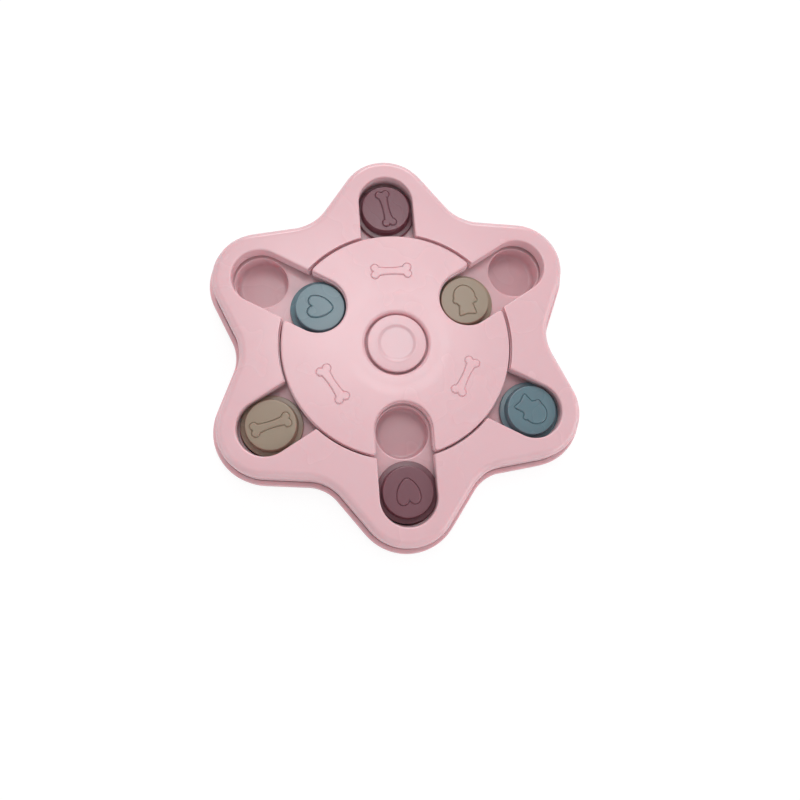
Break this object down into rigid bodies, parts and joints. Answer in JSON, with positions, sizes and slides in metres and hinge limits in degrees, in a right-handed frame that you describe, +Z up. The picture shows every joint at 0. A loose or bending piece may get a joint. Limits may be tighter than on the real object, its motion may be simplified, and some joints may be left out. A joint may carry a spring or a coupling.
{
  "type": "dog puzzle feeder",
  "caption": "Star-shaped treat puzzle for dogs: food cups under sliding blocks, a turntable with slots of its own, and a squeaker button in the middle.",
  "frame": {"origin": "on the table, under the turntable's axis, with the feet's soles at z = 0", "axes": "+Z up along the turntable's axis; +Y through the lobe that the mauve bone block slides in; +X through a hollow between two lobes"},
  "size_m": [0.2252, 0.25, 0.0263],
  "materials": {
    "case_plastic": "satin moulded, pale pink",
    "block_mauve": "satin moulded, mauve",
    "block_taupe": "satin moulded, taupe",
    "block_blue": "satin moulded, blue-grey",
    "foot_rubber": "matte, pale grey",
    "bellows_rubber": "matte, off-white",
    "reed_plastic": "plain, white",
    "screw_steel": "zinc plated"
  },
  "bodies": {
    "case": {"base_shell": "case_plastic", "food_tray": "case_plastic", "top_cover": "case_plastic", "case_screws": "screw_steel", "foot_pad_1": "foot_rubber", "foot_pad_2": "foot_rubber", "foot_pad_3": "foot_rubber", "foot_pad_4": "foot_rubber", "foot_pad_5": "foot_rubber", "foot_pad_6": "foot_rubber"},
    "turntable": {"turntable": "case_plastic", "hub_retainer": "case_plastic", "retainer_screws": "screw_steel", "squeaker_bellows": "bellows_rubber", "squeaker_reed": "reed_plastic"},
    "button": {"centre_button": "case_plastic"},
    "bone_block_mauve": {"bone_block_mauve": "block_mauve"},
    "bone_block_taupe": {"bone_block_taupe": "block_taupe"},
    "heart_block_mauve": {"heart_block_mauve": "block_mauve"},
    "fish_block_blue": {"fish_block_blue": "block_blue"},
    "heart_block_blue": {"heart_block_blue": "block_blue"},
    "fish_block_taupe": {"fish_block_taupe": "block_taupe"}
  },
  "joints": [
    {"name": "turntable_turn", "type": "hinge", "parent": "case", "child": "turntable", "pos_m": [0, 0, 0.0257], "axis": [0, 0, 1], "range_deg": [-360, 360]},
    {"name": "button_press", "type": "slide", "parent": "turntable", "child": "button", "axis": [0, 0, 1], "range_m": [-0.003, 0], "stiffness_N_per_m": 1500, "deforming": ["squeaker_bellows"]},
    {"name": "bone_block_mauve_slide", "type": "slide", "parent": "case", "child": "bone_block_mauve", "axis": [0, 1, 0], "range_m": [-0.0037, 0.0045]},
    {"name": "bone_block_taupe_slide", "type": "slide", "parent": "case", "child": "bone_block_taupe", "axis": [-0.866, -0.5, 0], "range_m": [-0.0037, 0.0045]},
    {"name": "heart_block_mauve_slide", "type": "slide", "parent": "case", "child": "heart_block_mauve", "axis": [0, -1, 0], "range_m": [-0.0373, 0.0045]},
    {"name": "fish_block_blue_slide", "type": "slide", "parent": "case", "child": "fish_block_blue", "axis": [0.866, -0.5, 0], "range_m": [-0.00595, 0.00225]},
    {"name": "heart_block_blue_slide", "type": "slide", "parent": "turntable", "child": "heart_block_blue", "axis": [-0.866, 0.5, 0], "range_m": [0, 0.0418]},
    {"name": "fish_block_taupe_slide", "type": "slide", "parent": "turntable", "child": "fish_block_taupe", "axis": [0.866, 0.5, 0], "range_m": [0, 0.0418]}
  ]
}
